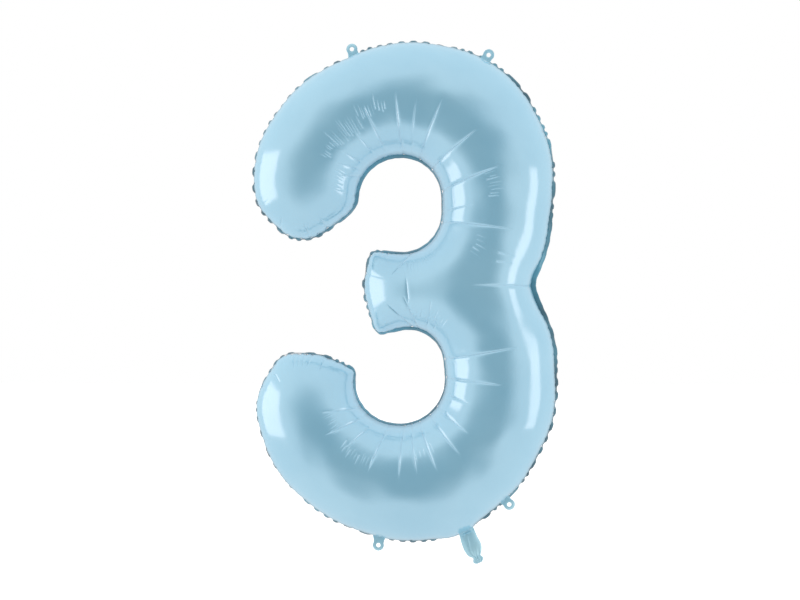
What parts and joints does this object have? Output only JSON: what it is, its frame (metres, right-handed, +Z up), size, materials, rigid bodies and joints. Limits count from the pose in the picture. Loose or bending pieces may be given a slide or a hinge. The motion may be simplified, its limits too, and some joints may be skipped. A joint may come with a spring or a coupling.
{
  "type": "foil number balloon",
  "caption": "Inflated foil balloon shaped as the figure three, with two bulging panels, a flat welded border, punched hanging tabs and a flat filling neck with a valve.",
  "frame": {"origin": "centre of the whole balloon's box, in the plane of the seam", "axes": "+Z up the figure, +X to the right of the figure as it is read, the front panel faces -Y"},
  "size_m": [0.5332, 0.1678, 0.9123],
  "materials": {
    "foil_panel": "pastel light-blue metallised film, soft satin gloss",
    "foil_border": "the same film, welded flat, slightly darker",
    "foil_tab": "the same film, welded flat and die-cut",
    "foil_neck": "the same film, unwelded in the middle",
    "valve_film": "milky clear polyethylene film"
  },
  "bodies": {
    "balloon": {"front_panel": "foil_panel", "back_panel": "foil_panel", "seam_border": "foil_border", "valve_front_film": "valve_film", "valve_back_film": "valve_film"},
    "top_left_tab": {"tab_top_left": "foil_tab"},
    "top_right_tab": {"tab_top_right": "foil_tab"},
    "bottom_left_tab": {"tab_bottom_left": "foil_tab"},
    "bottom_right_tab": {"tab_bottom_right": "foil_tab"},
    "neck": {"neck_front_film": "foil_neck", "neck_back_film": "foil_neck"},
    "front_lip": {"mouth_front_lip": "foil_neck"},
    "back_lip": {"mouth_back_lip": "foil_neck"}
  },
  "joints": [
    {"name": "tab_top_left_fold", "type": "hinge", "parent": "balloon", "child": "top_left_tab", "pos_m": [-0.09029, 0, 0.43531], "axis": [-0.9613, 0, -0.2756], "range_deg": [-90, 90], "stiffness_Nm_per_rad": 0.0004},
    {"name": "tab_top_right_fold", "type": "hinge", "parent": "balloon", "child": "top_right_tab", "pos_m": [0.14264, 0, 0.42429], "axis": [-0.8387, 0, 0.5446], "range_deg": [-90, 90], "stiffness_Nm_per_rad": 0.0004},
    {"name": "tab_bottom_left_fold", "type": "hinge", "parent": "balloon", "child": "bottom_left_tab", "pos_m": [-0.04503, 0, -0.41806], "axis": [0.9925, 0, -0.1219], "range_deg": [-90, 90], "stiffness_Nm_per_rad": 0.0004},
    {"name": "tab_bottom_right_fold", "type": "hinge", "parent": "balloon", "child": "bottom_right_tab", "pos_m": [0.17754, 0, -0.34765], "axis": [0.7314, 0, 0.682], "range_deg": [-90, 90], "stiffness_Nm_per_rad": 0.0004},
    {"name": "neck_fold", "type": "hinge", "parent": "balloon", "child": "neck", "pos_m": [0.1072, 0, -0.4025], "axis": [0.91, 0, 0.4147], "range_deg": [-90, 90], "stiffness_Nm_per_rad": 0.002},
    {"name": "front_lip_open", "type": "hinge", "parent": "neck", "child": "front_lip", "pos_m": [0.12648, -0.00035, -0.44481], "axis": [-0.91, 0, -0.4147], "range_deg": [0, 25], "stiffness_Nm_per_rad": 0.0002},
    {"name": "back_lip_open", "type": "hinge", "parent": "neck", "child": "back_lip", "pos_m": [0.12648, 0.00035, -0.44481], "axis": [0.91, 0, 0.4147], "range_deg": [0, 25], "stiffness_Nm_per_rad": 0.0002}
  ]
}
